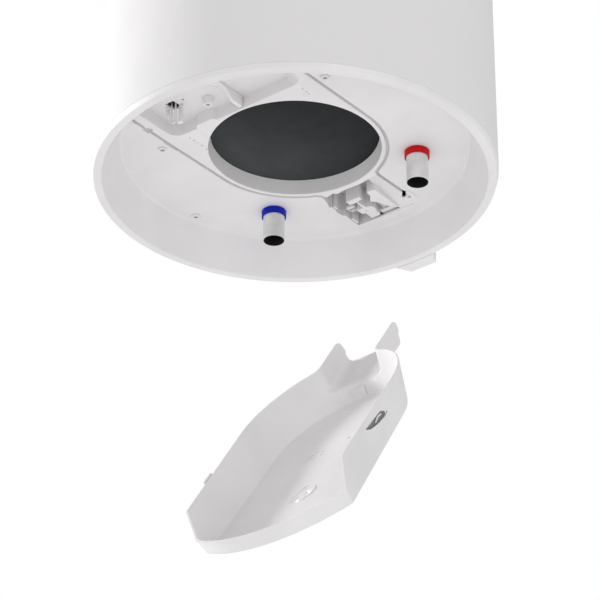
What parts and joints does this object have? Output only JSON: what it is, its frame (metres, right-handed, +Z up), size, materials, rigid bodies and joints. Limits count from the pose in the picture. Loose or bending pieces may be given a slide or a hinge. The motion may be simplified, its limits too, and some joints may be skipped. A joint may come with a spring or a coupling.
{
  "type": "tank water heater",
  "caption": "Wall-hung round electric storage water heater with a recessed bottom, hot and cold pipe stubs, and its clip-on bottom cover hanging open below.",
  "frame": {"origin": "middle of the upper wall bracket's back face, in the plane of the wall", "axes": "+Y into the wall, +Z up along the tank, +X to the right of somebody who faces the wall"},
  "size_m": [0.505, 0.5195, 1.2634],
  "materials": {
    "white_plastic": "fine satin moulding",
    "white_enamel": "smooth semi-gloss powder coat",
    "dark_disc": "dark grey satin",
    "foam": "cellular polyurethane foam",
    "tank_enamel": "vitreous enamel",
    "steel": "zinc plated",
    "copper": "plain copper",
    "magnesium": "cast grey",
    "rubber": "matt",
    "blue_plastic": "satin",
    "red_plastic": "satin",
    "black_plastic": "satin",
    "red_button": "gloss"
  },
  "bodies": {
    "heater": {"bottom_cap": "white_plastic", "top_cap": "white_plastic", "cable_comb": "white_plastic", "cable_bridge": "white_plastic", "well_rib_1": "white_plastic", "well_rib_2": "white_plastic", "cable_clamp": "white_plastic", "front_hook": "white_plastic", "screw_post": "white_plastic", "pocket_divider": "white_plastic", "cap_screw_boss_1": "white_plastic", "cap_screw_boss_2": "white_plastic", "cap_screw_boss_3": "white_plastic", "wall_spacer": "white_plastic", "outer_jacket": "white_enamel", "service_disc": "dark_disc", "foam_insulation": "foam", "inner_tank": "tank_enamel", "tank_flange_ring": "tank_enamel", "flange_plate": "tank_enamel", "wall_bracket": "steel", "cold_inlet_pipe": "steel", "hot_outlet_pipe": "steel", "clamp_screw_1": "steel", "clamp_screw_2": "steel", "cap_screw_1": "steel", "cap_screw_2": "steel", "cap_screw_3": "steel", "flange_bolt_1": "steel", "flange_bolt_2": "steel", "flange_bolt_3": "steel", "flange_bolt_4": "steel", "flange_bolt_5": "steel", "flange_bolt_6": "steel", "heating_element": "copper", "sensor_pocket": "copper", "magnesium_anode": "magnesium", "flange_gasket": "rubber", "cold_ring": "blue_plastic", "hot_ring": "red_plastic", "thermostat_body": "black_plastic", "terminal_block": "black_plastic"},
    "cover": {"bottom_cover": "white_plastic", "cover_clip_left": "white_plastic", "cover_clip_right": "white_plastic"},
    "knob": {"thermostat_knob": "white_plastic"},
    "button": {"reset_button": "red_button"}
  },
  "joints": [
    {"name": "cover_drop", "type": "hinge", "parent": "heater", "child": "cover", "pos_m": [0, 0.0832, -0.6877], "axis": [1, 0, 0], "range_deg": [-55.45, 0]},
    {"name": "thermostat_turn", "type": "hinge", "parent": "heater", "child": "knob", "pos_m": [-0.012, -0.286, -0.524], "axis": [0, 0, 1], "range_deg": [0, 270]},
    {"name": "reset_press", "type": "slide", "parent": "heater", "child": "button", "axis": [0, 0, 1], "range_m": [0, 0.002], "stiffness_N_per_m": 300}
  ]
}
